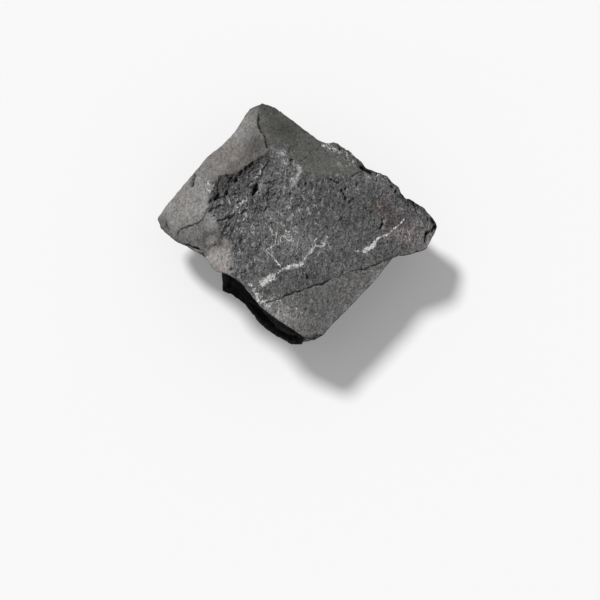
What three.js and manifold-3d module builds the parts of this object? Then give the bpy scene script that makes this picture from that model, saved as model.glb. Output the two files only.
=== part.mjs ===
// A raw shungite stone: one broken piece of dull black rock that lies on its flattest fracture face.
// Millimetres, +Z up. +X is the stone's long way and -Y is the side with the steep foot.
// The block starts as its plan outline, drawn upright. Fracture planes then cut it to shape, as the rock broke.

import * as THREE from 'three';
import { mergeVertices } from 'three/addons/utils/BufferGeometryUtils.js';
import Module from 'manifold-3d';

const wasm = await Module();
wasm.setup();

// Driving dimensions
const BLANK_HEIGHT = 30;      // height of the uncut block, above the crown of the stone
const REACH = 160;            // size of the block that a fracture plane cuts away
const MARGIN = 60;            // how far a region runs past the outline where it has no edge of its own
const SCOOP_SEGMENTS = 64;    // sides round the ball that leaves a shell-shaped break

// Plan outline, clockwise from the west tip
const NORTH_WEST_SIDE = [
  [-35.9, 1.3], [-34.1, 3.6], [-30.6, 7.1], [-26.4, 11.2], [-23.0, 16.1],
  [-18.9, 19.6], [-16.1, 22.9], [-14.1, 26.9], [-12.2, 30.3], [-11.3, 30.8],
];
const NORTH_TIP = [[-8.7, 31.8], [-5.6, 30.6]];
const NORTH_EAST_SIDE = [[-2.2, 27.8], [1.9, 24.3], [5.3, 21.3], [7.3, 20.4], [8.6, 20.4]];
const FIRST_LEDGE = [[9.6, 20.9], [11.2, 20.0], [14.5, 17.4], [16.9, 14.9], [17.8, 13.3]];
const SECOND_LEDGE = [[20.2, 11.7], [22.3, 10.8], [25.1, 9.0], [26.1, 8.2]];
const THIRD_LEDGE = [[26.5, 6.5], [28.9, 5.0], [32.0, 3.3], [34.6, 1.2]];
const EAST_SHELF = [
  [35.7, -0.3], [36.0, -1.4], [35.2, -3.5], [33.7, -6.2], [32.9, -7.3],
  [32.0, -7.8], [29.3, -8.7], [25.4, -9.9], [24.2, -10.5],
];
const SOUTH_EAST_SIDE = [[22.1, -13.2], [20.3, -15.7], [15.2, -21.2], [11.4, -25.2], [8.6, -28.0], [6.8, -30.3]];
const SOUTH_TIP = [[4.6, -31.7], [3.7, -31.8]];
const SOUTH_WEST_SIDE = [
  [1.8, -31.1], [-2.1, -28.7], [-5.8, -26.5], [-9.1, -24.1], [-11.6, -20.9],
  [-13.6, -18.3], [-16.6, -16.0], [-20.0, -14.5], [-21.3, -13.2],
];
const WEST_FOOT = [[-23.0, -10.1], [-26.5, -7.9], [-30.0, -5.1], [-33.2, -2.6], [-35.0, -0.3]];
const OUTLINE = [
  ...NORTH_WEST_SIDE, ...NORTH_TIP, ...NORTH_EAST_SIDE, ...FIRST_LEDGE, ...SECOND_LEDGE,
  ...THIRD_LEDGE, ...EAST_SHELF, ...SOUTH_EAST_SIDE, ...SOUTH_TIP, ...SOUTH_WEST_SIDE, ...WEST_FOOT,
];

// Edges that run across the upper side
const CROWN_RIM = [
  [-7.2, 16.3], [-8.2, 14.4], [-11.2, 12.8], [-13.7, 10.3], [-15.5, 10.2], [-19.1, 9.5], [-21.0, 5.4],
  [-22.3, 2.4], [-22.0, -0.1], [-19.9, -3.0], [-19.4, -5.2], [-16.6, -8.7], [-16.2, -12.0], [-15.9, -15.6],
];
const LONG_CRACK = [
  [-8.8, -24.2], [-7.8, -23.3], [-4.9, -22.4], [0.1, -20.4], [4.6, -18.5],
  [8.9, -16.7], [14.0, -14.5], [17.5, -13.6], [21.3, -11.5], [24.2, -10.5],
];

// Plan regions that limit a break
const CROWN = [...CROWN_RIM, [-15.9, -MARGIN], [MARGIN, -MARGIN], [MARGIN, MARGIN], [-7.2, MARGIN]];
const SOUTH_FACE = [...LONG_CRACK, [MARGIN, -MARGIN], [-MARGIN, -MARGIN]];
const WEST_CORNER = [[-MARGIN, MARGIN], [-15.9, MARGIN], [-15.9, -8.4], [-23.5, -10.9], [-MARGIN, -20]];
const PALE_PATCH = [[-15.9, -8.4], [-23.5, -10.9], [-MARGIN, -20], [-MARGIN, -MARGIN], [-15.9, -MARGIN]];
const SECOND_LEDGE_TOP = [[18.0, 12.8], [21.0, 9.8], [24.6, 7.4], [26.6, 6.6], [30, 14], [20, 18]];
const THIRD_LEDGE_TOP = [[26.6, 6.4], [28.6, 4.2], [30.6, 1.4], [33.2, -2.4], [35.0, -4.2], [44, -2], [34, 12]];
const SHELF = [[23.4, -MARGIN], [MARGIN, -MARGIN], [MARGIN, MARGIN], [23.4, MARGIN]];
const WEST_SIDE = [[-19.5, -MARGIN], [-19.5, -9], [-24, 0], [-MARGIN, 0], [-MARGIN, -MARGIN]];

// Faces of the upper side. Each passes through a point, falls toward a bearing (degrees clockwise from +Y)
// and dips that many degrees below level. What lies above it is gone, within its region if it has one.
const SLOPES = [
  { through: [-26.4, 11.2, 18.5], toward: -38, dip: 29.7 },                                // north-west
  { through: [-26.4, 11.2, 18.5], toward: -89, dip: 35.9 },                                // west
  { through: [-30.0, -5.3, 14.0], toward: -122, dip: 38.9, region: WEST_CORNER },
  { through: [-23.0, -10.7, 16.9], toward: -104, dip: 35.8, region: PALE_PATCH },
  { through: [1.9, 24.3, 16.2], toward: 29, dip: 30.7 },                                   // north-east
  { through: [-16.6, -16.0, 20.4], toward: -109, dip: 7.6, region: CROWN },                // crown, west half
  { through: [25.4, -10.3, 16.2], toward: 122, dip: 12.1, region: CROWN },                 // crown, east half
  { through: [15.2, -21.2, 16.0], toward: 132, dip: 16.5, region: SOUTH_FACE },
  { through: [22.3, 10.8, 17.6], toward: 60, dip: 14, region: SECOND_LEDGE_TOP },
  { through: [28.9, 5.0, 15.8], toward: 85, dip: 15, region: THIRD_LEDGE_TOP },
];

// Walls of the lower side. Each looks toward a bearing and leans in under the stone by that many degrees
// from upright, from a point on its upper edge. What lies beyond it is gone.
const SHELF_UNDERSIDE = 11.6;
const WALLS = [
  { from: [-31.5, 6.9, 10.2], facing: -51, lean: 20 },                                     // north-west
  { from: [-8.7, 31.8, 12.5], facing: -5, lean: 22 },                                      // north tip
  { from: [14.5, 17.4, 12.0], facing: 38, lean: 22 },                                      // under the ledges
  { from: [34.8, -4.6, 12.2], facing: 116, lean: 50 },                                     // under the east shelf
  { from: [29.3, -8.7, 13.4], facing: 161, lean: 45, region: SHELF },
  { from: [15.2, -21.2, 13.6], facing: 132, lean: 21, spared: SHELF },                     // south-east
  { from: [0, -31.8, 16.0], facing: 180, lean: 9.5 },                                      // south tip
  { from: [-35.4, 0.4, 10.6], facing: -112, lean: 42 },                                    // west tip
  { from: [-27.0, -8.3, 13.8], facing: -137, lean: 22, region: WEST_SIDE },
  { from: [0, 17.5, 0], facing: 8, lean: 68 },                                             // underside, north
  { from: [15.0, 0, 0], facing: 97, lean: 70 },                                            // underside, east
];

// Shell-shaped hollows: the ball's radius, the deepest point of the hollow, and the way that it looks
const SCOOPS = [
  { radius: 60, deepest: [-15.0, 19.0, 19.3], facing: -38, rise: 60 },                     // north-west slope
  { radius: 50, deepest: [5.0, 14.0, 19.8], facing: 29, rise: 59 },                        // north-east slope
  { radius: 26, deepest: [-19.0, 18.8, 9.0], facing: -51, rise: -14 },                     // north-west wall
  { radius: 22, deepest: [2.4, 22.9, 8.0], facing: 38, rise: -16 },                        // north-east wall
  { radius: 24, deepest: [18.2, 12.2, 5.5], facing: 42, rise: -26 },                       // under the ledges
  { radius: 22, deepest: [14.4, -17.6, 7.0], facing: 132, rise: -22 },                     // south-east wall
  { radius: 24, deepest: [-13.2, -17.9, 8.0], facing: -140, rise: 0 },                     // south-west wall
];

const radians = THREE.MathUtils.degToRad;

// Level unit vector along a bearing, in degrees clockwise from +Y
function bearing(angle) {
  return new THREE.Vector3(Math.sin(radians(angle)), Math.cos(radians(angle)), 0);
}

function toSolid(geometry) {
  const bare = geometry.clone();
  bare.deleteAttribute('normal');
  bare.deleteAttribute('uv');
  const merged = mergeVertices(bare, 1e-5);
  const mesh = new wasm.Mesh({
    numProp: 3,
    vertProperties: new Float32Array(merged.attributes.position.array),
    triVerts: new Uint32Array(merged.index.array),
  });
  return new wasm.Manifold(mesh);
}

function toGeometry(solid) {
  const mesh = solid.getMesh();
  const geometry = new THREE.BufferGeometry();
  geometry.setAttribute('position', new THREE.BufferAttribute(new Float32Array(mesh.vertProperties), 3));
  geometry.setIndex(new THREE.BufferAttribute(new Uint32Array(mesh.triVerts), 1));
  geometry.computeVertexNormals();
  return geometry;
}

// An upright prism over a plan polygon
function prism(points, bottom, top) {
  const shape = new THREE.Shape(points.map(([x, y]) => new THREE.Vector2(x, y)));
  const geometry = new THREE.ExtrudeGeometry(shape, { depth: top - bottom, bevelEnabled: false });
  return toSolid(geometry.translate(0, 0, bottom));
}

// Everything on the outer side of the plane through a point, square to a direction
function outside(point, direction) {
  const block = new THREE.BoxGeometry(REACH, REACH, REACH).translate(0, 0, REACH / 2);
  block.applyQuaternion(new THREE.Quaternion().setFromUnitVectors(new THREE.Vector3(0, 0, 1), direction));
  return toSolid(block.translate(...point));
}

// What a dipping face takes off
function above({ through, toward, dip, region }) {
  const direction = bearing(toward).multiplyScalar(Math.sin(radians(dip)));
  direction.z = Math.cos(radians(dip));
  const waste = outside(through, direction);
  return region ? waste.intersect(prism(region, 0, BLANK_HEIGHT)) : waste;
}

// What a leaning wall takes off. A spared region keeps its rock above the shelf's underside.
function beyond({ from, facing, lean, region, spared }) {
  const direction = bearing(facing).multiplyScalar(Math.cos(radians(lean)));
  direction.z = -Math.sin(radians(lean));
  const waste = outside(from, direction);
  if (spared) return waste.subtract(prism(spared, SHELF_UNDERSIDE, BLANK_HEIGHT));
  return region ? waste.intersect(prism(region, -1, BLANK_HEIGHT)) : waste;
}

// The ball that leaves a hollow whose deepest point and outlook are given
function ball({ radius, deepest, facing, rise }) {
  const direction = bearing(facing).multiplyScalar(Math.cos(radians(rise)));
  direction.z = Math.sin(radians(rise));
  const centre = new THREE.Vector3(...deepest).addScaledVector(direction, radius);
  const geometry = new THREE.SphereGeometry(radius, SCOOP_SEGMENTS, SCOOP_SEGMENTS / 2);
  return toSolid(geometry.translate(...centre));
}

function buildStone() {
  const waste = [...SLOPES.map(above), ...WALLS.map(beyond), ...SCOOPS.map(ball)];
  const block = prism(OUTLINE, 0, BLANK_HEIGHT);
  return toGeometry(waste.reduce((rock, piece) => rock.subtract(piece), block));
}

// Centre the stone on the origin in plan, with its resting face at z = 0
function centred(geometry) {
  geometry.computeBoundingBox();
  const { min, max } = geometry.boundingBox;
  return geometry.translate(-(min.x + max.x) / 2, -(min.y + max.y) / 2, -min.z);
}

const shungite = new THREE.MeshStandardMaterial({ color: 0x4b4a48, roughness: 0.82, metalness: 0 });
const stone = new THREE.Mesh(centred(buildStone()), shungite);
stone.name = 'shungite_stone';

const part = new THREE.Group();
part.add(stone);
export default part;
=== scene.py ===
"""Raw shungite stone: sculpts the broken surface over the solid stone, and sets the stage under it."""

import math
from types import SimpleNamespace

import bmesh
import bpy
import numpy as np
from bpy.props import FloatProperty, FloatVectorProperty, IntProperty, PointerProperty
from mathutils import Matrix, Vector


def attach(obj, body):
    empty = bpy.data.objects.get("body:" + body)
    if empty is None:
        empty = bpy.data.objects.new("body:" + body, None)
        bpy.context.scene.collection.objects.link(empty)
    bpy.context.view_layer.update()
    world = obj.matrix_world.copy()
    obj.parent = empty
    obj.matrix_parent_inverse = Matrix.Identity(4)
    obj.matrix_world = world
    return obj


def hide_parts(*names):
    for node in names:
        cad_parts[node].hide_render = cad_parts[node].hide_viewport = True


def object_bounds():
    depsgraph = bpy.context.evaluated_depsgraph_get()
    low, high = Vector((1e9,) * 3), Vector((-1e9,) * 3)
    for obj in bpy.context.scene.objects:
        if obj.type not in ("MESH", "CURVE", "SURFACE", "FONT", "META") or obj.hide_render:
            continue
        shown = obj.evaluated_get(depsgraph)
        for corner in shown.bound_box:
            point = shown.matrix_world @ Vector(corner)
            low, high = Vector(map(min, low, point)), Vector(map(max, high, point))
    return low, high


bl_info = {
    "name": "Raw shungite stone",
    "version": (1, 0, 0),
    "blender": (4, 5, 0),
    "location": "3D View > Sidebar > Shungite",
    "description": "Sculpts one raw shungite stone and sets a plain stage under it",
    "category": "Object",
}

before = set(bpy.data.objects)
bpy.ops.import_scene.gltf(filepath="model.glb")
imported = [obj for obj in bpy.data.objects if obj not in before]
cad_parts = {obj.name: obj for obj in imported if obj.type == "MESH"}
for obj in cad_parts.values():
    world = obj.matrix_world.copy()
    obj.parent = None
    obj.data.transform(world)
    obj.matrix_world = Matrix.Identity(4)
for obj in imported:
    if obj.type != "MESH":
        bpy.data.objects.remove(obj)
CAD_BOX = [list(corner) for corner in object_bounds()]

# Everything below is in millimetres, in the stone's own frame, until it is written to the mesh.
MM = 0.001

# Lines that outlines and cracks share.
NORTH_RIDGE = ((-7.8, 18.0), (-8.3, 20.7), (-9.6, 23.5), (-10.2, 26.3))
NORTH_WEST_RIM = ((-7.2, 16.3), (-8.2, 14.4), (-11.2, 12.8), (-13.7, 10.3), (-15.5, 10.2), (-19.1, 9.5))
SOUTH_WEST_RIM = ((-22.0, -0.1), (-19.9, -3.0), (-19.4, -5.2), (-16.6, -8.7), (-16.2, -12.0), (-15.9, -15.6))
EAST_SLOPE_FOOT = (
    (-6.5, 18.7), (-2.4, 15.9), (0.1, 12.6), (1.4, 10.3), (5.7, 9.4), (8.5, 9.1), (11.5, 11.3),
    (15.1, 10.2), (17.0, 12.4),
)
LONG_CRACK = (
    (-4.9, -22.4), (0.1, -20.4), (4.6, -18.5), (8.9, -16.7), (14.0, -14.5), (17.5, -13.6), (21.3, -11.5),
)
WEST_PLATE_EDGE = (
    (-30.5, -4.5), (-30.2, -3.4), (-29.4, -2.6), (-27.0, -2.3), (-25.4, -2.2), (-23.6, -1.4), (-22.6, 0.1),
)
PLATE_CORNER = ((-25.6, 11.1), (-23.7, 9.5), (-23.4, 8.0))
LIT_RIB = ((0.4, 11.8), (1.1, 10.0), (-0.1, 8.0), (-1.1, 6.5))

# The rough, hackly face on top of the stone, inside the smooth plates.
ROUGH_FACE = (
    *EAST_SLOPE_FOOT, (20.5, 12.5), (27.0, 9.5), (33.0, 4.5), (37.5, -0.5), (35.5, -6.5), (30.0, -9.5),
    (24.2, -10.6), *LONG_CRACK[::-1], (-7.8, -23.3), (-9.5, -24.5), (-12.0, -22.5), (-15.0, -19.0),
    (-16.5, -16.5), *SOUTH_WEST_RIM[::-1], (-22.3, 2.4), (-21.0, 5.4), *NORTH_WEST_RIM[::-1],
)

# The smooth plates: outline, tone, warmth (brown is above 0, green below) and edge softness.
PLATES = {
    "north_west": (
        ((-28.0, 12.5), (-23.0, 17.5), (-18.9, 21.0), (-14.5, 28.5), (-11.5, 33.0), (-9.6, 30.5),
         *NORTH_RIDGE[::-1], *NORTH_WEST_RIM, (-21.4, 7.6), *PLATE_CORNER[::-1]), 1.28, 0.12, 0.3),
    "west": (
        (*PLATE_CORNER, (-21.6, 7.4), (-21.0, 5.4), (-22.3, 2.4), *WEST_PLATE_EDGE[::-1], (-34.0, -4.0),
         (-37.5, 0.0), (-37.5, 2.5), (-31.0, 9.0), (-26.4, 12.5)), 1.75, 0.03, 0.3),
    "west_corner": (
        ((-22.3, 2.4), *SOUTH_WEST_RIM[:3], (-17.6, -7.6), (-19.5, -8.0), (-22.0, -8.2), (-24.7, -9.2),
         (-27.0, -10.5), (-32.5, -6.0), *WEST_PLATE_EDGE), 1.27, -0.02, 0.4),
    "pale_patch": (
        ((-21.5, -8.6), (-19.5, -8.2), (-17.6, -7.9), (-16.6, -8.9), (-16.3, -10.6), (-16.1, -14.1),
         (-16.2, -16.5), (-20.0, -15.5), (-22.0, -13.5), (-23.2, -10.5)), 2.15, 0.16, 1.7),
    "east_slope": (
        ((-9.6, 32.5), (1.9, 26.0), (8.6, 21.5), (13.0, 18.0), (17.0, 13.6), *EAST_SLOPE_FOOT[::-1],
         (-7.2, 16.9), *NORTH_RIDGE), 0.76, -0.15, 0.6),
    "south_slope": (
        ((-8.8, -24.2), (-7.8, -23.3), *LONG_CRACK, (25.0, -10.2), (24.0, -14.0), (8.0, -31.0),
         (5.0, -34.0), (0.0, -32.5), (-10.0, -25.5)), 1.25, 0.02, 0.3),
}

# Each crack: its line, half width and depth.
CRACKS = {
    "north_ridge": (((-7.2, 16.3), *NORTH_RIDGE, (-9.7, 28.9)), 0.24, 0.45),
    "west_plate_edge": ((*WEST_PLATE_EDGE[:-1], (-22.5, 0.1), (-22.1, 2.7)), 0.17, 0.2),
    "west_plate_foot": (
        ((-30.6, -4.6), (-30.2, -3.3), (-29.2, -2.6), (-27.2, -2.3), (-25.6, -2.2)), 0.26, 0.3),
    "plate_line": ((*PLATE_CORNER, (-23.1, 6.6), (-22.0, 5.0)), 0.15, 0.08),
    "nick": (((-26.3, 11.6), (-26.1, 10.4), (-26.4, 9.0), (-26.7, 7.8)), 0.45, 1.2),
    "low_west": (((-28.2, -6.6), (-26.3, -7.8), (-24.4, -8.5)), 0.32, 0.8),
    "corner_foot": (((-23.7, -8.1), (-22.7, -7.8), (-21.5, -8.0), (-19.9, -8.1), (-18.7, -7.4)), 0.5, 0.22),
    "west_tip": (((-33.9, 0.8), (-33.5, -0.1), (-33.1, -1.2), (-32.4, -2.6)), 0.22, 0.3),
    "west_scratch": (((-31.9, 2.1), (-30.4, 2.4), (-28.5, 1.9)), 0.13, 0.1),
    "long": (((-9.0, -24.0), *LONG_CRACK[:3], (7.6, -17.3)), 0.17, 0.28),
    "long_east": ((*LONG_CRACK[2:], (24.2, -10.5)), 0.14, 0.15),
    "east_gash": (((22.3, -0.3), (21.9, -1.6), (21.0, -3.6)), 0.35, 0.8),
    "low_strip": (((2.4, -12.6), (2.3, -13.8), (2.5, -15.2), (2.7, -16.5)), 0.15, 0.15),
    "low_strip_west": (((-3.7, -16.2), (-3.7, -17.8), (-3.9, -19.5)), 0.17, 0.15),
    "foot_diagonal": (((-10.0, -14.0), (-12.1, -15.0), (-14.0, -16.0)), 0.2, 0.25),
    "slope_split": (((0.8, 13.4), (1.9, 14.5), (3.0, 15.5)), 0.18, 0.2),
    "ledge_gap": (((16.4, 13.7), (17.6, 13.0), (18.8, 12.2), (20.8, 11.0)), 0.5, 1.5),
    "ledge_gap_tail": (((13.6, 9.6), (15.3, 11.2), (17.4, 12.6)), 0.2, 0.3),
    "ledge_crack": (
        ((26.4, 6.0), (27.2, 5.4), (29.1, 4.6), (30.2, 3.5), (30.6, 2.3), (30.4, 0.7)), 0.26, 0.4),
    "east_tip": (
        ((34.4, 1.3), (35.3, -0.2), (35.6, -1.4), (35.0, -2.4), (33.4, -3.5), (32.9, -4.4), (32.4, -6.3)),
        0.3, 0.9),
}

# Where the ground drops on the right side of a crack: how far, and the drop's reach.
DROPS = {
    "north_ridge": (0.3, 2.5),
    "west_plate_edge": (0.1, 3.0),
    "low_west": (0.1, 2.0),
    "foot_diagonal": (0.12, 2.0),
    "slope_split": (0.06, 2.0),
}

# The ragged trench just inside the rim of the rough face: line, half width and depth.
TRENCHES = {
    "west_rim": (((-20.6, 4.6), (-21.2, 3.4), (-21.7, 2.2)), 0.5, 0.15),
    "pocket": (((-17.9, 6.8), (-17.5, 5.4), (-17.9, 4.2)), 0.55, 0.5),
}

# Raised ribs on the rough face: line, half width and height.
RIBS = {
    "lit_rib": (LIT_RIB, 0.8, 0.4),
    "north_rib": (((-3.4, 15.4), (-2.8, 12.5), (-3.8, 9.6)), 1.1, 0.45),
    "lit_pit_lip": (((-11.5, 6.6), (-10.7, 8.3), (-9.3, 9.3), (-8.9, 10.8)), 0.4, 0.3),
    "pit_shoulder": (((-8.0, 8.6), (-8.0, 6.0), (-9.2, 3.6)), 0.8, 0.4),
    "middle_rib": (((-0.2, 4.2), (-0.9, 2.6), (-2.2, 0.2)), 0.8, 0.4),
    "left_rib": (((-16.3, -0.4), (-14.4, 1.0), (-12.4, 3.0)), 0.8, 0.4),
    "far_left_rib": (((-18.6, 3.4), (-18.2, 1.2), (-17.2, -0.6)), 0.7, 0.4),
    "pit_row_rib": (((9.8, 9.8), (12.4, 7.6), (13.6, 5.0)), 0.7, 0.35),
    "east_rib": (((23.2, 0.4), (22.9, -1.6), (22.0, -3.4)), 0.6, 0.3),
    "west_rim_fill": (((-21.6, 1.0), (-20.4, -1.2), (-18.6, -4.0), (-16.9, -7.6)), 1.5, 0.6),
    "foot_rim_fill": (((-16.2, -9.0), (-15.6, -12.0), (-15.4, -15.4)), 1.2, 0.35),
}

# Each pit: centre, half width, half length, lean of its long side from north, depth. Its east side
# is shallow.
PITS = (
    (-9.0, 13.9, 0.5, 1.1, 65, 0.35), (-11.4, 12.3, 0.6, 1.1, 50, 0.6), (-12.7, 11.2, 0.5, 0.9, 35, 0.5),
    (-14.0, 10.2, 0.5, 0.8, 30, 0.6), (-15.3, 8.4, 0.5, 1.0, 20, 0.6), (-19.2, 9.0, 0.6, 0.7, 30, 0.35),
    (-17.6, 5.4, 0.5, 1.1, 10, 0.7), (-21.6, 3.1, 0.35, 0.7, 30, 0.5), (-18.6, -6.8, 0.4, 1.0, -30, 0.4),
    (9.4, 8.3, 0.35, 0.5, -40, 0.4), (12.4, 6.6, 0.3, 0.5, 0, 0.5), (12.0, 5.0, 0.3, 0.5, 20, 0.5),
    (13.6, 3.4, 0.35, 0.5, 0, 0.45), (15.4, 7.6, 0.3, 0.7, 10, 0.4), (24.2, 7.9, 0.5, 0.7, -30, 0.9),
    (25.2, 6.7, 0.45, 0.6, 20, 0.9), (20.6, 9.6, 0.3, 0.6, 20, 0.4), (17.6, 1.9, 0.35, 0.5, 0, 0.35),
    (-10.6, 5.8, 0.62, 2.1, 19, 1.9), (-20.2, 4.2, 0.5, 1.2, 35, 0.8), (-14.4, 2.5, 0.4, 1.0, 60, 0.4),
    (-16.9, -1.2, 0.45, 0.6, 30, 0.6), (-14.0, -7.2, 0.5, 1.3, 10, 0.35), (-16.1, -14.8, 0.4, 0.7, 60, 0.5),
    (-4.4, 3.0, 0.35, 0.7, 5, 0.4), (-6.5, 7.2, 0.35, 0.8, 5, 0.35), (2.3, 7.1, 0.35, 0.9, 10, 0.4),
    (8.8, 8.7, 0.4, 0.6, -50, 0.6), (10.3, 7.9, 0.4, 0.8, -60, 0.5), (11.5, 6.0, 0.45, 0.9, -10, 0.6),
    (12.4, 4.0, 0.4, 0.8, -15, 0.6), (13.8, 9.4, 0.3, 0.9, -5, 0.4), (11.0, -1.3, 0.3, 0.9, 40, 0.35),
    (18.7, 0.7, 0.4, 0.7, 20, 0.3), (11.0, 18.9, 0.35, 0.7, 10, 0.7), (2.7, -16.6, 0.35, 0.6, 10, 0.7),
    (-30.4, 2.3, 0.22, 0.3, 0, 0.3), (2.3, -24.6, 0.35, 0.5, 20, 0.25), (4.8, -25.1, 0.3, 0.7, 80, 0.2),
    (33.6, 0.2, 0.5, 0.7, -20, 0.4),
)

# White mineral: line, half width and strength.
VEINS = {
    "long_vein": (
        ((-7.8, -17.9), (-5.6, -16.3), (-3.9, -15.0), (-1.6, -13.9), (0.1, -13.5), (1.6, -12.9),
         (2.6, -11.4), (4.3, -8.8), (6.6, -8.4), (7.7, -7.3)), 0.55, 0.75),
    "long_vein_knot": (((-8.4, -18.4), (-7.1, -17.6), (-5.8, -16.7)), 1.0, 1.15),
    "long_vein_neck": (((-5.9, -16.7), (-4.0, -15.1), (-2.2, -14.2)), 0.45, 0.85),
    "long_vein_middle": (((-2.0, -14.1), (0.2, -13.6), (1.6, -12.8)), 0.75, 0.9),
    "branch": (((-4.1, -14.2), (-4.6, -13.5), (-5.9, -11.8), (-7.5, -10.0)), 0.19, 1.1),
    "branch_back": (((-7.5, -10.0), (-5.5, -8.8), (-5.0, -5.6)), 0.21, 1.05),
    "branch_flecks": (((-3.9, -7.9), (-3.9, -6.6), (-2.6, -6.7), (-1.6, -6.3), (-1.0, -7.6)), 0.5, 0.72),
    "east_vein": (
        ((14.7, -9.5), (17.0, -9.1), (19.0, -7.9), (19.8, -6.9), (21.2, -5.4), (23.4, -4.2), (24.6, -3.1),
         (26.2, -1.7), (27.5, -0.3)), 0.27, 1.0),
    "east_vein_knot": (((17.3, -8.9), (18.8, -7.9), (19.7, -6.9)), 0.75, 1.2),
    "east_echo": (((19.4, -8.9), (20.4, -8.3), (21.0, -7.2)), 0.22, 0.5),
    "foot_cluster": (
        ((-11.4, -19.0), (-10.2, -20.6), (-9.6, -22.0), (-8.8, -23.3), (-7.3, -23.0)), 1.0, 0.68),
    "vein_tip": (((7.2, -6.6), (7.9, -5.4)), 0.5, 0.6),
    "north_flecks": (((-3.9, 15.4), (-3.2, 13.5), (-3.5, 11.5), (-4.3, 9.8)), 0.9, 0.5),
    "lit_lump": (((0.3, 11.8), (1.0, 10.0), (0.4, 9.0)), 0.6, 0.5),
    "middle_streaks": (((-0.9, 3.9), (-1.4, 2.4), (-2.3, 1.6), (-2.8, 0.5)), 0.6, 0.45),
    "left_flecks": (((-16.2, 0.4), (-14.7, 1.1), (-13.2, 2.2)), 1.0, 0.4),
    "pit_rim": (((-11.3, 6.7), (-10.6, 8.2), (-9.2, 9.3), (-8.9, 11.0)), 0.22, 0.75),
    "pit_side": (((-9.0, 8.8), (-8.9, 6.2), (-10.1, 4.0)), 0.4, 0.35),
    "north_east_patch": (((7.2, 19.2), (8.3, 18.8), (9.4, 18.6)), 1.0, 0.6),
    "north_east_fan": (((12.6, 17.5), (13.2, 16.3), (14.2, 14.4), (15.0, 13.0)), 0.9, 0.42),
    "ledge_flecks": (((18.8, 11.6), (20.0, 11.3), (21.6, 10.8)), 0.35, 0.5),
    "plate_line": (((-25.6, 11.1), (-23.9, 9.9), (-23.2, 8.6), (-22.9, 7.0), (-21.9, 5.4)), 0.2, 0.5),
    "plate_specks": (((-22.4, 7.7), (-22.2, 7.4)), 0.3, 0.9),
    "plate_specks_low": (((-21.8, 5.6), (-21.6, 5.3)), 0.3, 0.9),
    "east_line": (((25.2, -5.8), (26.5, -5.2), (28.8, -4.9)), 0.3, 0.4),
}

# Brown or greenish bloom and lighter or darker ground: centre, radii, warmth, tone.
BLOOMS = (
    (-16.0, 15.6, 4.5, 2.6, 0.45, 0.02), (-30.4, 3.9, 2.6, 1.8, 0.4, -0.04),
    (21.8, 2.4, 2.2, 2.0, 1.1, -0.03), (25.0, -1.6, 3.4, 2.4, 0.75, -0.1),
    (29.0, -4.8, 5.0, 3.0, 0.5, 0.74), (-19.0, -13.5, 2.5, 2.0, 0.2, 0.0),
    (-10.8, 18.6, 2.8, 4.2, -0.1, -0.45), (-9.0, 30.0, 4.0, 3.0, 0.0, -0.25),
    (-3.0, 24.0, 5.0, 4.5, -0.1, -0.36), (-35.0, 0.0, 2.2, 2.6, 0.0, -0.35),
    (8.5, -14.5, 7.0, 2.4, 0.0, 0.08), (24.0, 6.0, 4.0, 2.6, 0.0, 0.09), (29.0, -8.0, 4.0, 1.8, 0.0, 0.02),
    (-13.0, 19.0, 3.0, 3.0, 0.0, -0.08), (3.0, 17.5, 4.0, 3.0, 0.0, -0.07),
    (11.5, 13.5, 3.0, 1.8, 0.0, 0.08), (-14.5, 4.5, 6.5, 5.0, 0.05, 0.0), (9.0, 4.0, 7.0, 4.5, 0.05, -0.08),
    (-3.6, 11.5, 3.0, 4.5, 0.0, 0.08), (-0.4, 8.0, 2.2, 4.0, 0.0, 0.14), (-21.3, -2.0, 1.3, 2.6, 0.0, 0.8),
    (-27.5, 7.6, 3.2, 3.0, 0.0, -0.1), (-1.5, -3.5, 4.5, 7.0, 0.0, 0.4), (2.0, -10.5, 5.5, 3.0, 0.0, 0.2),
    (-5.0, -26.5, 5.5, 4.5, 0.0, 0.78), (-15.0, 24.5, 3.5, 5.0, 0.0, 0.35),
    (-7.8, 21.5, 1.2, 3.6, 0.0, 0.2), (0.5, 19.5, 4.5, 3.5, 0.0, 0.03), (3.5, -24.0, 5.5, 4.0, 0.0, -0.15),
    (19.0, -13.5, 5.0, 2.2, 0.0, 0.15), (3.0, -17.0, 6.0, 2.0, 0.0, -0.08),
)
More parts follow.
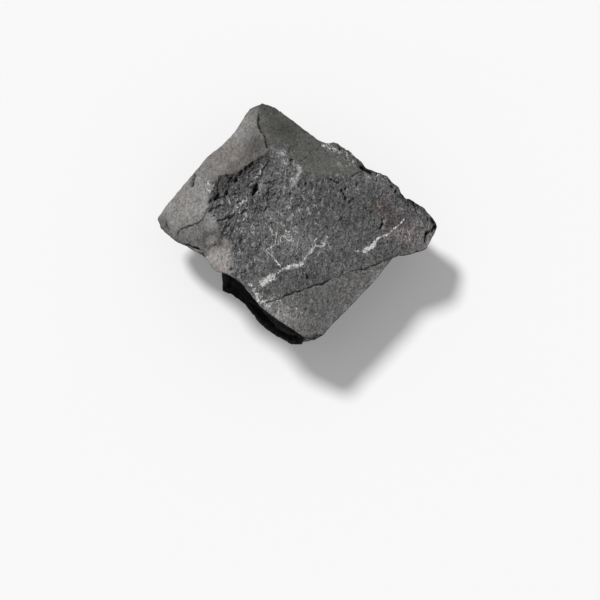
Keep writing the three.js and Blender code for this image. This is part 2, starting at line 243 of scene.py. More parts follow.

# Darker or lighter ground along a line: line, half width, tone. Along the north-east rims, the ledge
# notches, the east and south tips, the corner arch, and the north-west rim and its foot it is painted shade;
# along the south-east edge and rim, the lit rib and the pit's flank and lip it is painted highlight.
TONE_AND_SHADE_LINES = {
    "north_east_rim_shade": (((19.5, 12.2), (24.0, 9.6), (28.5, 6.0), (31.5, 3.8)), 1.1, -0.3),
    "first_ledge_rim_shade": (((11.0, 20.5), (14.5, 17.6), (17.5, 13.8)), 1.0, -0.3),
    "south_east_edge_light": (((22.5, -13.0), (15.2, -21.4), (8.6, -28.4)), 1.1, 0.3),
    "south_east_rim_light": (((22.6, -13.4), (15.5, -21.6), (8.8, -28.6)), 0.5, 0.4),
    "tip_edge": (((-12.0, 31.0), (-8.7, 32.0), (-5.0, 30.5)), 1.2, -0.25),
    "first_notch_shade": (((16.6, 13.6), (18.2, 12.7), (20.4, 11.5)), 0.7, -0.92),
    "third_notch_shade": (((26.4, 6.0), (28.0, 5.1), (29.8, 3.9)), 0.8, -0.85),
    "corner_arch_shade": (
        ((-23.6, -6.6), (-23.1, -5.2), (-22.2, -4.7), (-20.5, -5.0), (-19.2, -6.4), (-18.9, -7.9)),
         0.75, -0.42),
    "corner_pale": (((-22.2, -6.9), (-21.0, -6.8)), 0.7, 0.35),
    "west_tip_edge": (((-36.0, 1.2), (-35.0, -0.6), (-32.4, -3.4), (-28.6, -6.6)), 1.1, -0.35),
    "east_tip_shade": (((34.6, 0.2), (35.5, -0.9), (35.6, -2.0)), 0.6, -0.85),
    "south_tip_shade": (((1.8, -31.9), (3.9, -31.4), (6.4, -30.5)), 0.5, -0.8),
    "east_facet": (((34.2, -4.0), (33.6, -6.0)), 0.9, 0.2),
    "lit_rib": (LIT_RIB, 0.65, 1.0),
    "lit_pit_flank": (((-8.5, 8.2), (-8.9, 6.4), (-9.8, 4.6)), 0.6, 0.7),
    "lit_pit_lip": (((-11.4, 6.6), (-10.6, 8.2), (-9.2, 9.3), (-8.9, 10.8)), 0.4, 0.8),
    "north_flecks": (((-3.8, 15.0), (-2.8, 12.8), (-3.4, 10.8)), 1.3, 0.3),
    "left_flecks": (((-16.2, 0.2), (-14.6, 1.2), (-13.0, 2.4)), 1.2, 0.3),
    "above_vein": (((-3.0, -10.0), (5.0, -6.0), (13.0, -6.0)), 2.2, 0.2),
    "rim_shade": (((-8.8, 18.0), (-10.4, 16.0), (-13.1, 14.2), (-16.4, 11.6)), 1.5, -0.33),
    "rim_foot_shade": (
        ((-7.4, 14.6), (-9.4, 13.2), (-12.4, 11.0), (-14.8, 9.2), (-18.4, 8.4), (-20.2, 5.2)), 1.3, -0.4),
}

# Where pale flecks and threads catch the light on the broken face, partly white mineral and partly painted
# glints: centre, radii and strength.
FLECKS_AND_GLINTS = (
    (-3.0, 13.0, 2.0, 3.4, 0.8), (-0.2, 9.2, 1.5, 3.2, 0.75), (-8.8, 9.6, 1.5, 2.4, 0.7),
    (-14.6, 2.4, 3.0, 2.8, 0.9), (-3.0, 0.4, 2.0, 3.4, 0.7), (-2.8, -6.2, 3.0, 2.4, 1.0),
    (-6.0, -11.0, 2.0, 2.0, 0.3), (-12.0, -4.0, 5.0, 5.0, 0.5), (2.5, -2.0, 5.0, 8.0, 0.36),
    (-12.5, -12.5, 4.0, 4.0, 0.35), (6.5, -7.2, 2.2, 1.8, 0.9), (24.0, 0.0, 4.0, 3.0, 0.3),
    (12.8, 16.2, 3.0, 2.4, 0.9), (8.4, 19.2, 1.6, 1.2, 0.8), (20.4, 10.6, 2.6, 1.6, 0.7),
    (-3.0, -24.6, 7.0, 2.4, 0.5), (27.5, -5.0, 3.0, 1.6, 0.5), (-22.2, 7.0, 1.3, 2.2, 0.8),
    (10.5, 8.0, 5.0, 3.0, 0.3), (31.5, 1.0, 3.0, 3.0, 0.3), (-4.0, -24.4, 6.0, 2.6, 0.4),
)

# Where a smooth plate is broken or a broken face is smooth: centre, radii and roughness of the break.
PATCHES = (
    (12.4, 16.0, 3.4, 2.2, 0.45), (8.4, 19.0, 2.0, 1.0, 0.4), (-3.5, 17.5, 2.5, 2.0, 0.4),
    (-22.2, 6.6, 1.4, 2.0, 0.3), (-6.0, -24.5, 4.0, 2.0, 0.6), (-21.0, -7.0, 2.4, 2.0, 0.25),
    (-25.5, -5.6, 4.0, 2.2, 0.34), (0.7, 10.2, 0.9, 1.8, 0.3), (-0.6, 7.4, 0.8, 1.4, 0.4),
    (-8.8, 6.6, 0.7, 1.8, 0.4),
)

# Rubble left at the foot of the rim: line, half width and height.
RUBBLE = {
    "north_west_foot": (
        ((-7.2, 13.2), (-9.8, 11.4), (-11.8, 9.8), (-14.2, 8.3), (-17.0, 7.9), (-18.9, 6.6)), 1.5, 1.0),
    "west_foot": (((-19.3, 5.6), (-20.6, 3.4), (-21.2, 1.4)), 1.2, 0.8),
}

# Rims that are worn down: line, half width and share.
WORN = {
    "north_west_rim": (NORTH_WEST_RIM, 2.2, 0.95),
    "west_rim": (((-19.1, 9.5), (-21.0, 5.4), (-22.3, 2.4)), 1.8, 0.9),
    "south_west_rim": (SOUTH_WEST_RIM, 2.0, 0.9),
    "long_crack": (((2.0, -19.6), (4.6, -18.5), (9.0, -16.6)), 0.8, 0.8),
}

# Stretches of the outline that stand out from the flat walls: line, width and how far.
BULGES = {
    "second_ledge": (((20.0, 12.0), (22.4, 10.4)), 1.6, 0.5),
    "third_ledge": (((29.2, 4.2), (31.6, 2.6)), 1.4, 0.45),
    "east_foot": (((28.0, -9.4), (30.0, -8.6), (31.8, -8.0)), 1.6, 0.35),
    "west_edge": (((-35.0, -1.8), (-33.0, -4.2), (-30.0, -7.2)), 1.6, 0.9),
}

# What is kept for each point. Hackly is how broken it is, and the hollow field how deep in a crack it lies,
# which darkens it as painted shade; the fleck field marks pale flecks that are partly white mineral and
# partly painted glints.
FIELDS = ("hackly", "tone", "warmth", "vein", "hollow", "fleck")

# How far the edges of the plates stray from their outlines, and the length of one wave of it.
WANDER = 0.35
WANDER_LENGTH = 2.2

# How broken the ground is: beside the rough face and the plates, and on the south slope.
GROUND_BREAK = 0.75
SOUTH_SLOPE_BREAK = 0.56

# Tone of the ground beside the rough face and the plates, and of the walls; painted shade makes the
# south-west walls almost black, and painted light makes the top of the south-east walls lighter.
GROUND_TONE = 0.8
WALL_TONE = 0.42
SOUTH_WEST_WALL_PAINTED_SHADE = 0.11
SOUTH_EAST_RIM_PAINTED_LIGHT = 1.3

# Heights between which the stone's top gives way to its walls, and above which a rim is worn down.
WALL_TOP = (8.0, 9.5)
RIM_HEIGHT = (12.0, 14.0)

# How many rounds of evening out with the neighbours each thing takes.
NORMAL_REACH = 4
RIM_WEAR = 140
EDGE_REACH = 24
WALL_REACH = 120
SPLINTER_REACH = 8
SMALL_CREASE = 3
LARGE_CREASE = 40

# The share of the stone above a wall that its hollows may take, and how proud a splinter may be.
HOLLOW_SHARE = 0.4
PROUD = (0.25, 0.55)

# The stone keeps this far inside its solid's box, and its highest part is held down.
BOX_MARGIN = 0.02
CROWN_HEIGHT = 0.9
CROWN_SWELL = 0.85

# The way from the stone to the main light, and the floor's reach in metres.
KEY_DIRECTION = (-0.42, 0.50, 0.757)
FLOOR_REACH = 4.0

# The point that the camera aims at, and its lens.
CAMERA_AIM = (0.875, -21.92, 18.0)
LENS = 100
FILM_WIDTH = 36

# The finish: scales and turn of its patterns, tint of the greenish bloom, the duller mineral, and sheen.
GRAIN_SCALE = (1000, 1000, 1000)
STREAK_SCALE = (1500, 800, 1100)
STREAK_TURN = (0, 0, math.radians(12))
GREEN_TINT = (0.9, 1.05, 0.85, 1)
DULL_MINERAL = 0.55
SHEEN = 0.02

# The way to each corner of a cell, and to each cell around it.
CORNERS = [np.array([i, j, k]) for i in (0, 1) for j in (0, 1) for k in (0, 1)]
AROUND = [np.array([i, j, k]) for i in (-1, 0, 1) for j in (-1, 0, 1) for k in (-1, 0, 1)]


def ease(low, high, value):
    """0 at low, 1 at high, and a smooth step between. Low may be the larger."""
    t = np.clip((value - low) / (high - low), 0, 1)
    return t * t * (3 - 2 * t)


def cell_numbers(cells, seed):
    """Three repeatable numbers from 0 to 1 for each whole-number cell."""
    c = cells.astype(np.int64).astype(np.uint64)
    mix = c[:, 0] * np.uint64(0x9E3779B97F4A7C15) ^ c[:, 1] * np.uint64(0xC2B2AE3D27D4EB4F)
    mix ^= c[:, 2] * np.uint64(0x165667B19E3779F9) ^ np.uint64(seed * 7919 + 12345)
    mix = (mix ^ (mix >> np.uint64(31))) * np.uint64(0xD6E8FEB86659FD93)
    mix = (mix ^ (mix >> np.uint64(29))) * np.uint64(0xD6E8FEB86659FD93)
    mix ^= mix >> np.uint64(32)
    parts = [(mix >> np.uint64(shift)) & np.uint64(0xFFFFF) for shift in (0, 20, 40)]
    return np.stack(parts, 1) / float(0xFFFFF)


def swell(p, seed):
    """Smooth noise of about -1 to 1, with one swell to each unit of p."""
    base = np.floor(p)
    part = p - base
    weight = part**3 * (part * (part * 6 - 15) + 10)
    total = np.zeros(len(p))
    for corner in CORNERS:
        slope = cell_numbers(base + corner, seed) * 2 - 1
        share = np.prod(np.where(corner, weight, 1 - weight), axis=1)
        total += share * ((part - corner) * slope).sum(1)
    return total * 1.8


def layered(p, seed, layers=3, gain=0.5):
    """Smooth noise in layers, each twice as fine as the last."""
    total = sum(gain**i * swell(p * 2.0**i + 17.3 * i, seed + i) for i in range(layers))
    return total / sum(gain**i for i in range(layers))


def chips(p, seed):
    """Flat chips, one to each unit of p, each with its own tilt and height. About -1 to 1."""
    base = np.floor(p)
    nearest = np.full(len(p), 9.0)
    height = np.zeros(len(p))
    for step in AROUND:
        cell = base + step
        away = p - cell - cell_numbers(cell, seed)
        gap = (away**2).sum(1)
        tilt = cell_numbers(cell, seed + 1) * 2 - 1
        closer = gap < nearest
        nearest = np.where(closer, gap, nearest)
        height = np.where(closer, (away * tilt).sum(1) + 0.35 * tilt[:, 2], height)
    return height


def facets(p, seed):
    """Shallow facets, one to each unit of p, tilted at random and met in sharp ridges. About -0.2 to 0.8."""
    base = np.floor(p)
    lowest = np.full(len(p), 9.0)
    for step in AROUND:
        cell = base + step
        own = cell_numbers(cell, seed)
        tilt = cell_numbers(cell, seed + 1) * 2 - 1
        away = p - cell - own
        lowest = np.minimum(lowest, 0.7 * (away**2).sum(1) + 0.7 * (away * tilt).sum(1) + 0.3 * own[:, 2])
    return lowest


def line_distance(plan, points):
    """Distance from an open line, the side (above 0 is its right) and the share of its length."""
    best = np.full(len(plan), 1e9)
    side = np.zeros(len(plan))
    share = np.zeros(len(plan))
    for i, (a, b) in enumerate(zip(points[:-1], points[1:])):
        a, b = np.array(a), np.array(b)
        run = b - a
        t = np.clip(((plan - a) @ run) / (run @ run), 0, 1)
        off = plan - a - t[:, None] * run
        gap = np.hypot(off[:, 0], off[:, 1])
        closer = gap < best
        best = np.where(closer, gap, best)
        side = np.where(closer, np.sign(off[:, 0] * run[1] - off[:, 1] * run[0]), side)
        share = np.where(closer, (i + t) / (len(points) - 1), share)
    return best, side, share


def beside(plan, points, width, power=2):
    """1 on a line, and less with the distance from it."""
    return np.exp(-(line_distance(plan, points)[0] / width) ** power)


def spot(plan, x, y, half_width, half_length):
    """A soft oval spot, 1 at its centre."""
    return np.exp(-((plan[:, 0] - x) / half_width) ** 2 - ((plan[:, 1] - y) / half_length) ** 2)


def inside_distance(plan, outline):
    """Distance from a closed outline, above 0 inside it."""
    closed = list(outline) + [outline[0]]
    gap = line_distance(plan, closed)[0]
    inside = np.zeros(len(plan), bool)
    for (ax, ay), (bx, by) in zip(closed[:-1], closed[1:]):
        if ay == by:
            continue
        crosses = (plan[:, 1] < ay) != (plan[:, 1] < by)
        inside ^= crosses & (plan[:, 0] < ax + (plan[:, 1] - ay) * (bx - ax) / (by - ay))
    return np.where(inside, gap, -gap)


def relaxed(values, edges, rounds):
    """Values at the vertices, moved halfway to the mean of their neighbours in each round."""
    count = len(values)
    near = np.maximum(np.bincount(edges.ravel(), minlength=count), 1e-9)
    halfway = 0.5 * (near > 0.5)[:, None]
    for _ in range(rounds):
        total = np.stack([
            np.bincount(edges[:, 0], column[edges[:, 1]], count)
            + np.bincount(edges[:, 1], column[edges[:, 0]], count) for column in values.T], 1)
        values = values + halfway * (total / near[:, None] - values)
    return values


def turned(p, lean):
    """Places across and along a line that leans east of north by lean degrees."""
    a = math.radians(lean)
    x, y = p[:, 0], p[:, 1]
    return x * math.cos(a) - y * math.sin(a), x * math.sin(a) + y * math.cos(a)


def leaned(p, lean, width, length, height):
    """Points in a leaning grid, in cells of these sizes."""
    across, along = turned(p, lean)
    return np.stack([across / width, along / length, p[:, 2] / height], 1)


def lay(fields, name, value, mask):
    """Brings one of the fields to a value where the mask is 1."""
    fields[name] = fields[name] + (value - fields[name]) * mask


def lay_plates(fields, plan, upward):
    """The rough face and the smooth plates round it."""
    rough = ease(-0.25, 0.25, inside_distance(plan, ROUGH_FACE)) * upward
    lay(fields, "hackly", 1.0, rough)
    lay(fields, "tone", 1.0, rough)
    for outline, tone, warmth, softness in PLATES.values():
        mask = ease(-softness, softness, inside_distance(plan, outline)) * upward
        lay(fields, "hackly", 0.0, mask)
        lay(fields, "tone", tone, mask)
        lay(fields, "warmth", warmth, mask)
    slope = inside_distance(plan, PLATES["south_slope"][0])
    lay(fields, "hackly", SOUTH_SLOPE_BREAK, ease(-0.5, 0.5, slope) * upward)


def lay_walls(fields, p, out):
    """The walls are darker than the top, with a little rust; painted shade makes them almost black on the
    south-west, and painted light makes the top of the south-east walls lighter.
    """
    east, north = out[:, 0], out[:, 1]
    steep = np.maximum(ease(0.22, 0.05, out[:, 2]), ease(WALL_TOP[1], WALL_TOP[0], p[:, 2]))
    shaded_south_west = ease(-0.5, 0.8, -0.62 * east - 0.78 * north + 0.25 * layered(p / 5.0, 69, 2))
    lit_south_east = ease(0.2, 0.6, 0.7 * east - 0.7 * north) * ease(11.5, 14.0, p[:, 2])
    lay(fields, "tone", WALL_TONE + 0.12 * layered(p / 6.0, 65, 2), steep)
    # Painted shade makes the south-west walls almost black, and painted light makes the top of the
    # south-east walls lighter.
    lay(fields, "tone", SOUTH_WEST_WALL_PAINTED_SHADE, steep * shaded_south_west)
    lay(fields, "tone", SOUTH_EAST_RIM_PAINTED_LIGHT, lit_south_east * steep)
    lay(fields, "warmth", 0.5 * ease(0.1, 0.7, layered(p / 9.0, 67, 3)), steep)


def lay_markings(fields, plan, upward):
    """Bloom, patches, flecks that are partly painted glints, lines of darker or lighter ground that are
    mostly painted shade and painted highlight, and white mineral on the top.
    """
    for *oval, warmth, tone in BLOOMS:
        mask = spot(plan, *oval) * upward
        fields["warmth"] += warmth * mask
        fields["tone"] *= 1 + tone * mask
    for *oval, roughness in PATCHES:
        lay(fields, "hackly", roughness, spot(plan, *oval) * upward)
    # Pale flecks on the broken face, partly white mineral and partly painted glints.
    fields["fleck"] += 0.15 * fields["hackly"] * upward - 0.3 * (1 - upward)
    for *oval, strength in FLECKS_AND_GLINTS:
        fields["fleck"] += strength * spot(plan, *oval) * upward
    # Painted shade and painted highlight along most of these lines, and darker or lighter ground along the
    # rest.
    for points, width, tone in TONE_AND_SHADE_LINES.values():
        fields["tone"] *= 1 + tone * beside(plan, points, width) * upward
    for points, width, strength in VEINS.values():
        fields["vein"] = np.maximum(fields["vein"], strength * beside(plan, points, width) * upward)


def surface_fields(p, upward, out):
    """What kind of break the surface is at each point: the numbers that shape it and its finish."""
    wander = np.stack([layered(p / WANDER_LENGTH, 40, 2), layered(p / WANDER_LENGTH, 50, 2)], 1)
    plan = p[:, :2] + WANDER * wander
    fields = {name: np.zeros(len(p)) for name in FIELDS}
    fields["hackly"] += GROUND_BREAK
    fields["tone"] += GROUND_TONE
    lay_plates(fields, plan, upward)
    lay_walls(fields, p, out)
    lay_markings(fields, plan, upward)
    return plan, fields


def cracks(plan, ragged, lumpy):
    """How deep the cracks are and how much painted shade darkens them, with the drop of the ground on their
    right side.
    """
    depth = np.zeros(len(plan))
    dark = np.zeros(len(plan))
    for name, (points, width, deep) in CRACKS.items():
        gap, side, share = line_distance(plan, points)
        taper = ease(0, 0.12, share) * ease(0, 0.12, 1 - share) * 0.8 + 0.2
        taper *= np.exp(-np.maximum(gap - 3 * width, 0))
        groove = np.exp(-(gap / (width * ragged)) ** 2) * taper * np.clip(lumpy, 0.3, 1.2)
        depth = np.maximum(depth, deep * groove)
        dark = np.maximum(dark, groove * min(1, 0.35 + deep))
        if name in DROPS:
            drop, reach = DROPS[name]
            ends = ease(0, 0.2, share) * ease(0, 0.2, 1 - share)
            depth += drop * ends * ease(-0.1, 0.1, gap * side) * (1 - ease(0, reach, gap))
    return depth, dark


def pitted(plan, ragged, depth, dark):
    """The depth and the painted shade, with the pits sunk into them."""
    for x, y, half_width, half_length, lean, deep in PITS:
        across, along = turned(plan - (x, y), lean)
        reach = np.hypot(across / half_width, along / half_length) / (0.6 + 0.4 * ragged)
        core = 1 - ease(0.4, 1.15, reach)
        flank = 1 - ease(0, 1.0, np.hypot(across / (3 * half_width), along / (1.1 * half_length)))
        depth = np.maximum(depth, deep * np.maximum(core, 0.45 * flank * (across > 0)))
        dark = np.maximum(dark, core * min(1, 1.2 * deep))
    return depth, dark


def carved(p, plan, upward, fields):
    """How far the cracks, trenches and pits go in at each point, less the rubble and ribs."""
    ragged = 1 + 0.6 * layered(p / 0.9, 70, 2)
    lumpy = 1 + 1.1 * layered(leaned(p, 30, 0.8, 1.5, 1.0), 75, 2)
    heap = np.clip(0.5 + 1.5 * layered(leaned(p, 30, 1.1, 1.9, 1.5), 78, 2), 0, 1.25)
    depth, dark = cracks(plan, ragged, lumpy)
    for points, width, deep in TRENCHES.values():
        hole = beside(plan, points, width) * np.clip(lumpy - 0.25, 0, 1.6)
        depth += deep * hole
        dark = np.maximum(dark, 0.8 * ease(0.5, 1.4, hole))
    for points, width, high in RUBBLE.values():
        depth -= high * heap * beside(plan, points, width)
    depth, dark = pitted(plan, ragged, depth, dark)
    for points, width, high in RIBS.values():
        depth -= high * beside(plan, points, width) * np.clip(0.4 + 0.6 * lumpy, 0.3, 1.4)
    # The darkness in cracks, trenches and pits is kept for the finish as painted shade.
    fields["hollow"] = dark * upward
    return depth * upward


def bent_points(p):
    """The points shifted in waves, so that no row of chips runs straight."""
    flat = np.zeros(len(p))
    broad = 2.0 * np.stack([swell(p / 7.0, 1), swell(p / 7.0, 2), flat], 1)
    return p + (broad + 0.7 * np.stack([swell(p / 2.4, 7), swell(p / 2.4, 8), flat], 1))


def top_relief(p, plan, bent, hackly):
    """Height of the broken top over the flat one: splinters on the rough face, ripples on the plates."""
    # The break is coarsest at the west and north of the rough face, and evens out to the south and east.
    coarse = 0.5 + 0.75 * ease(10, -20, plan[:, 0] - 1.2 * plan[:, 1])
    large = 0.06 + 0.34 * ease(0.55, 1.2, coarse)
    splinters = large * chips(leaned(bent, 10, 2.2, 3.6, 2.6) + 0.3 * swell(p / 1.6, 3)[:, None], 11)
    splinters += 0.2 * chips(leaned(bent, 12, 1.0, 1.8, 1.4) + 0.3 * swell(p / 0.9, 5)[:, None], 21)
    splinters += 0.2 * layered(leaned(bent, 14, 1.6, 2.6, 2.0), 23, 2)
    splinters += 0.13 * chips(leaned(bent, 15, 0.6, 1.0, 0.8), 31)
    splinters += 0.06 * swell(leaned(bent, 14, 0.4, 0.7, 0.5), 33)
    broad = 0.35 * layered(p / 7.0, 61, 2)
    ripples = 0.16 * layered(leaned(p, 35, 5.0, 8.0, 6.0), 81, 2) + 0.025 * swell(p / 1.1, 85)
    return hackly * (splinters * coarse + broad) + (1 - hackly) * ripples


def wall_relief(p, bent):
    """Height of the broken walls over the flat ones: large and small facets with chips on them."""
    low = ease(0.2, 2.5, p[:, 2])
    walls = 3.6 * np.minimum(facets(bent / (10.0, 10.0, 8.0), 91) - 0.45, 0) * low
    walls += 1.3 * np.minimum(facets(bent / (4.2, 4.2, 3.2), 93) - 0.4, 0) * low
    walls += 0.16 * chips(bent / (2.0, 2.0, 1.4), 95) + 0.06 * chips(bent / (0.9, 0.9, 0.7), 96) - 0.1
    return walls


def worn_rims(p, edges):
    """The points with the rims of the rough face worn down to a ragged slope."""
    worn = np.zeros(len(p))
    for points, width, share in WORN.values():
        worn = np.maximum(worn, share * beside(p[:, :2], points, width, 4))
    worn *= ease(*RIM_HEIGHT, p[:, 2])
    rims = edges[(worn[edges] > 0.01).all(1)]
    return p + (relaxed(p, rims, RIM_WEAR) - p) * worn[:, None]


def stone_above(p, cell=0.5):
    """How much stone stands above each point."""
    cells = np.floor(p[:, :2] / cell).astype(int)
    cells -= cells.min(0)
    roof = np.zeros(cells.max(0) + 1)
    np.maximum.at(roof, (cells[:, 0], cells[:, 1]), p[:, 2])
    return roof[cells[:, 0], cells[:, 1]] - p[:, 2]


def outline_bulges(plan, out, cover):
    """How far the outline stands out from the flat walls."""
    height = np.zeros(len(plan))
    for points, width, push in BULGES.values():
        height += push * beside(plan, points, width, 4) * ease(0.95, 0.6, out[:, 2]) * ease(8, 3, cover)
    return height


def held_in_box(shaped):
    """The points kept in the solid's box: the crown is held down gently, the rest is cut off."""
    low, high = np.array(CAD_BOX) / MM + np.array([[BOX_MARGIN], [-BOX_MARGIN]])
    over = np.maximum(shaped[:, 2] - (high[2] - CROWN_HEIGHT), 0)
    shaped[:, 2] -= over - CROWN_SWELL * np.tanh(over / CROWN_SWELL)
    return np.clip(shaped, low, high)


def rub_ridges_and_shade_creases(fields, shaped, edges, out, upward, below_rim):
    """Ridges are made paler, partly as rubbed wear and partly as painted highlight, and creases darker as
    painted shade.
    """
    small = ((shaped - relaxed(shaped, edges, SMALL_CREASE)) * out).sum(1)
    large = ((shaped - relaxed(shaped, edges, LARGE_CREASE)) * out).sum(1)
    fields["tone"] *= 1 + 0.16 * np.tanh(small / 0.02) * fields["hackly"] * upward
    fields["tone"] *= 1 + 0.5 * np.tanh(large / 0.12) * below_rim
    fields["tone"] += 0.2 * ease(0.08, 0.3, large) * below_rim


def rows(parts, name, width=3, kind=float):
    """The numbers of a mesh's vertices, edges or normals, in rows."""
    numbers = np.empty(len(parts) * width, kind)
    parts.foreach_get(name, numbers)
    return numbers.reshape(-1, width)


def sculpt(mesh, relief, softness):
    """Moves the vertices of a dense copy of the solid into the broken surface, and writes its attributes."""
    edges = rows(mesh.edges, "vertices", 2, np.int64)
    p = worn_rims(relaxed(rows(mesh.vertices, "co") / MM, edges, softness), edges)
    mesh.vertices.foreach_set("co", (p * MM).ravel())
    mesh.update()
    out = relaxed(rows(mesh.vertex_normals, "vector"), edges, NORMAL_REACH)
    # The relief is calmer at the sharp edges of the solid, so that they don't fray.
    firm = 0.3 + 0.7 * ease(0.8, 0.97, np.linalg.norm(relaxed(out, edges, EDGE_REACH), axis=1))
    out /= np.linalg.norm(out, axis=1)[:, None]
    upward = ease(0.1, 0.4, out[:, 2]) * ease(*WALL_TOP, p[:, 2])
    below_rim = ease(0.4, 0.04, relaxed(upward[:, None], edges, WALL_REACH)[:, 0])
    plan, fields = surface_fields(p, upward, out)
    bent = bent_points(p)
    top = top_relief(p, plan, bent, fields["hackly"]) * upward
    # A wall is hollowed less where little stone is left above it.
    cover = stone_above(p)
    deepest = -HOLLOW_SHARE * cover - 8 * np.maximum(out[:, 2], 0)
    walls = np.maximum(wall_relief(p, bent) * below_rim, deepest)
    height = (top * firm + walls) * relief - carved(p, plan, upward, fields) * firm
    height += 0.1 * np.minimum(fields["vein"], 1) * swell(p / 0.5, 101)
    height += outline_bulges(plan, out, cover)
    shaped = p + out * height[:, None]
    sway = 0.1 + 0.12 * fields["hackly"] * upward
    shaped[:, 0] += sway * layered(p / 1.6, 111, 2)
    shaped[:, 1] += sway * layered(p / 1.6, 121, 2)
    # Splinters that stand too proud are worn back.
    even = relaxed(shaped, edges, SPLINTER_REACH)
    proud = ((shaped - even) * out).sum(1)
    shaped += (even - shaped) * ease(*PROUD, proud)[:, None]
    rub_ridges_and_shade_creases(fields, shaped, edges, out, upward, below_rim)
    mesh.vertices.foreach_set("co", (held_in_box(shaped) * MM).ravel())
    for name, values in fields.items():
        layer = mesh.attributes.new(name, "FLOAT", "POINT")
        layer.data.foreach_set("value", values.astype(np.float32))
    mesh.update()


def apply_modifiers(piece):
    """Bakes the piece's modifiers into its mesh."""
    shown = piece.evaluated_get(bpy.context.evaluated_depsgraph_get())
    mesh = bpy.data.meshes.new_from_object(shown)
    piece.modifiers.clear()
    old = piece.data
    piece.data = mesh
    mesh.name = old.name
    bpy.data.meshes.remove(old)


def merged_copy(solid, name):
    """A new object whose mesh is the solid's, with its loose triangles joined."""
    form = bmesh.new()
    form.from_mesh(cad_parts[solid].data)
    bmesh.ops.remove_doubles(form, verts=form.verts, dist=0.001 * MM)
    mesh = bpy.data.meshes.new(name)
    form.to_mesh(mesh)
    form.free()
    piece = bpy.data.objects.new(name, mesh)
    bpy.context.scene.collection.objects.link(piece)
    return piece


def node(tree, kind, settings=None, **inputs):
    """Adds a shader node. Inputs are values or the outputs of other nodes, by name or as in_N by place."""
    made = tree.nodes.new(kind)
    for key, value in (settings or {}).items():
        setattr(made, key, value)
    for key, value in inputs.items():
        socket = made.inputs[int(key[3:])] if key.startswith("in_") else made.inputs[key.replace("_", " ")]
        if isinstance(value, Level):
            value = value.socket
        if isinstance(value, bpy.types.NodeSocket):
            tree.links.new(value, socket)
        else:
            socket.default_value = value
    return made


class Level:
    """A number that a shader node gives, in a form that sums can be written with."""

    def __init__(self, socket):
        self.socket = socket

    def maths(self, what, other=0.0, clamp=False):
        settings = {"operation": what, "use_clamp": clamp}
        return Level(node(self.socket.id_data, "ShaderNodeMath", settings, in_0=self, in_1=other).outputs[0])

    def __add__(self, other):
        return self.maths("ADD", other)

    def __sub__(self, other):
        return self.maths("SUBTRACT", other)

    def __mul__(self, other):
        return self.maths("MULTIPLY", other)

    def ranged(self, low, high, to_low=0.0, to_high=1.0, smooth=False):
        """The number moved from one range to another, held at its ends."""
        kind = {"interpolation_type": "SMOOTHSTEP"} if smooth else {}
        ends = {"in_1": low, "in_2": high, "in_3": to_low, "in_4": to_high}
        return Level(node(self.socket.id_data, "ShaderNodeMapRange", kind, in_0=self, **ends).outputs[0])


def blended(tree, share, a, b, kind="MIX"):
    """Mix of two colours by a share from 0 to 1."""
    made = node(tree, "ShaderNodeMix", {"data_type": "RGBA", "blend_type": kind}, in_0=share, in_6=a, in_7=b)
    return made.outputs[2]


def noise(tree, vector, scale, detail=2.0, roughness=0.5, distortion=0.0):
    return Level(node(tree, "ShaderNodeTexNoise", Vector=vector, Scale=scale, Detail=detail,
                      Roughness=roughness, Distortion=distortion).outputs[0])


def random_cells(tree, vector, scale):
    """Distance from the middle of the nearest cell, and two numbers that are the cell's own."""
    made = node(tree, "ShaderNodeTexVoronoi", Vector=vector, Scale=scale)
    own = node(tree, "ShaderNodeSeparateColor", in_0=made.outputs["Color"]).outputs
    return Level(made.outputs["Distance"]), Level(own[0]), Level(own[1])


def threads(tree, drawn, shift, width, low, high):
    """Short lines between the splinters, strongest where another noise is above high."""
    moved = node(tree, "ShaderNodeMapping", in_0=drawn, in_1=(shift, 2 * shift, 0)).outputs[0]
    gap = (noise(tree, moved, 0.45, 2.0, 0.6, 0.8) - 0.5).maths("ABSOLUTE")
    return gap.ranged(0.2 * width, width, 1, 0) * noise(tree, moved, 0.7, 1.0).ranged(low, high)


def stone_patterns(tree):
    """The patterns and the fields that the finish is mixed from."""
    place = node(tree, "ShaderNodeTexCoord").outputs["Object"]
    mm = node(tree, "ShaderNodeMapping", in_0=place, in_3=GRAIN_SCALE).outputs[0]
    drawn = node(tree, "ShaderNodeMapping", in_0=place, in_2=STREAK_TURN, in_3=STREAK_SCALE).outputs[0]
    cells = random_cells(tree, mm, 3.0)[2]
    soft = noise(tree, mm, 2.1, 3.0, 0.75).ranged(0.3, 0.7, -1, 1)
    fields = {name: Level(node(tree, "ShaderNodeAttribute", {"attribute_name": name}).outputs["Fac"])
              for name in FIELDS}
    return SimpleNamespace(
        mm=mm,
        cells=cells,
        grain=soft * 0.6 + (cells - 0.5) * 0.9,
        fine=noise(tree, mm, 3.6, 1.0),
        streak=noise(tree, drawn, 1.0, 2.0, 0.6, 1.0).ranged(0.32, 0.68, -1, 1),
        mottle=noise(tree, mm, 0.35, 3.0, 0.6),
        thread=threads(tree, drawn, 3.0, 0.045, 0.5, 0.58),
        shade=threads(tree, drawn, 9.0, 0.04, 0.52, 0.6),
        **fields,
    )


